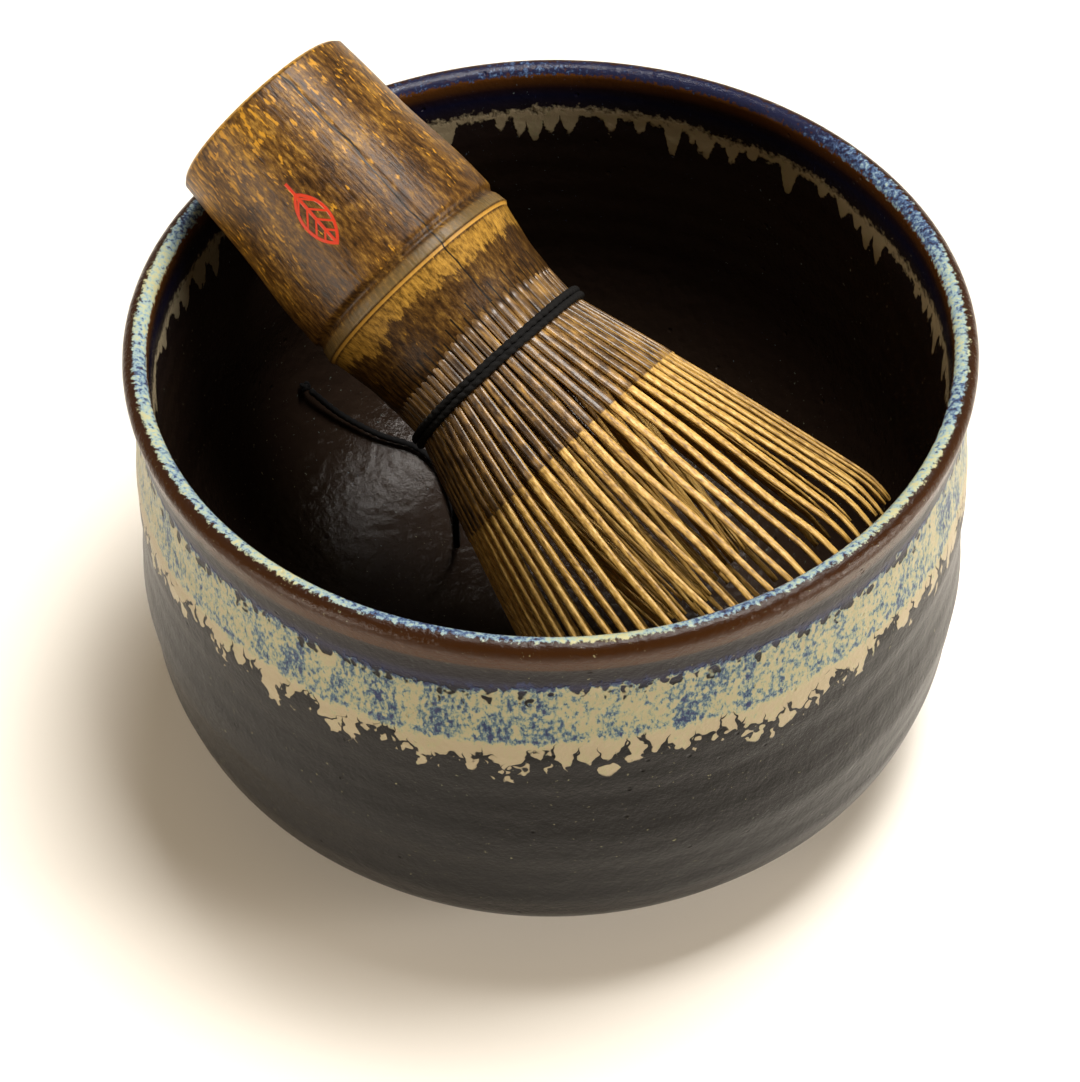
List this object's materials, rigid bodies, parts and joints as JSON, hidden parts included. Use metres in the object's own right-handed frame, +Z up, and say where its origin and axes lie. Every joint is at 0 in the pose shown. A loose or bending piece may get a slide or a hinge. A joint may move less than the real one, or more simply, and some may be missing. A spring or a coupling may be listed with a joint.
{
  "type": "matcha bowl with whisk",
  "caption": "Deep round stoneware tea bowl on a foot ring, with a bamboo whisk of split tines resting inside it on the lip and the floor.",
  "frame": {"origin": "on the bowl's axis, on the surface that the foot ring stands on", "axes": "+Z up along the bowl's axis; the whisk lies in an upright plane that passes 3.4 mm in front of that axis, at 39.6 degrees from +X towards -Y, tips that way"},
  "size_m": [0.1228, 0.1228, 0.1021],
  "materials": {
    "dark_glaze": "dark brown-black glaze with a pale blue and cream band under the lip",
    "smoked_bamboo": "smoked bamboo skin, satin",
    "split_bamboo": "shaved bamboo, bare",
    "cotton_thread": "black cotton thread"
  },
  "bodies": {
    "bowl": {"bowl": "dark_glaze"},
    "whisk": {"whisk_handle": "smoked_bamboo", "outer_tines_01": "split_bamboo", "outer_tines_02": "split_bamboo", "outer_tines_03": "split_bamboo", "outer_tines_04": "split_bamboo", "outer_tines_05": "split_bamboo", "outer_tines_06": "split_bamboo", "outer_tines_07": "split_bamboo", "outer_tines_08": "split_bamboo", "outer_tines_09": "split_bamboo", "outer_tines_10": "split_bamboo", "outer_tines_11": "split_bamboo", "outer_tines_12": "split_bamboo", "outer_tines_13": "split_bamboo", "outer_tines_14": "split_bamboo", "outer_tines_15": "split_bamboo", "outer_tines_16": "split_bamboo", "inner_tines_01": "split_bamboo", "inner_tines_02": "split_bamboo", "inner_tines_03": "split_bamboo", "inner_tines_04": "split_bamboo", "inner_tines_05": "split_bamboo", "inner_tines_06": "split_bamboo", "inner_tines_07": "split_bamboo", "inner_tines_08": "split_bamboo", "inner_tines_09": "split_bamboo", "inner_tines_10": "split_bamboo", "inner_tines_11": "split_bamboo", "inner_tines_12": "split_bamboo", "inner_tines_13": "split_bamboo", "inner_tines_14": "split_bamboo", "inner_tines_15": "split_bamboo", "inner_tines_16": "split_bamboo", "thread_outer_turn_1": "cotton_thread", "thread_outer_turn_2": "cotton_thread", "thread_inner_turn": "cotton_thread", "thread_knot": "cotton_thread", "thread_tail": "cotton_thread", "tail_end_knot": "cotton_thread"}
  },
  "joints": [
    {"name": "whisk_lift", "type": "slide", "parent": "bowl", "child": "whisk", "axis": [0, 0, 1], "range_m": [0, 0.11]}
  ]
}
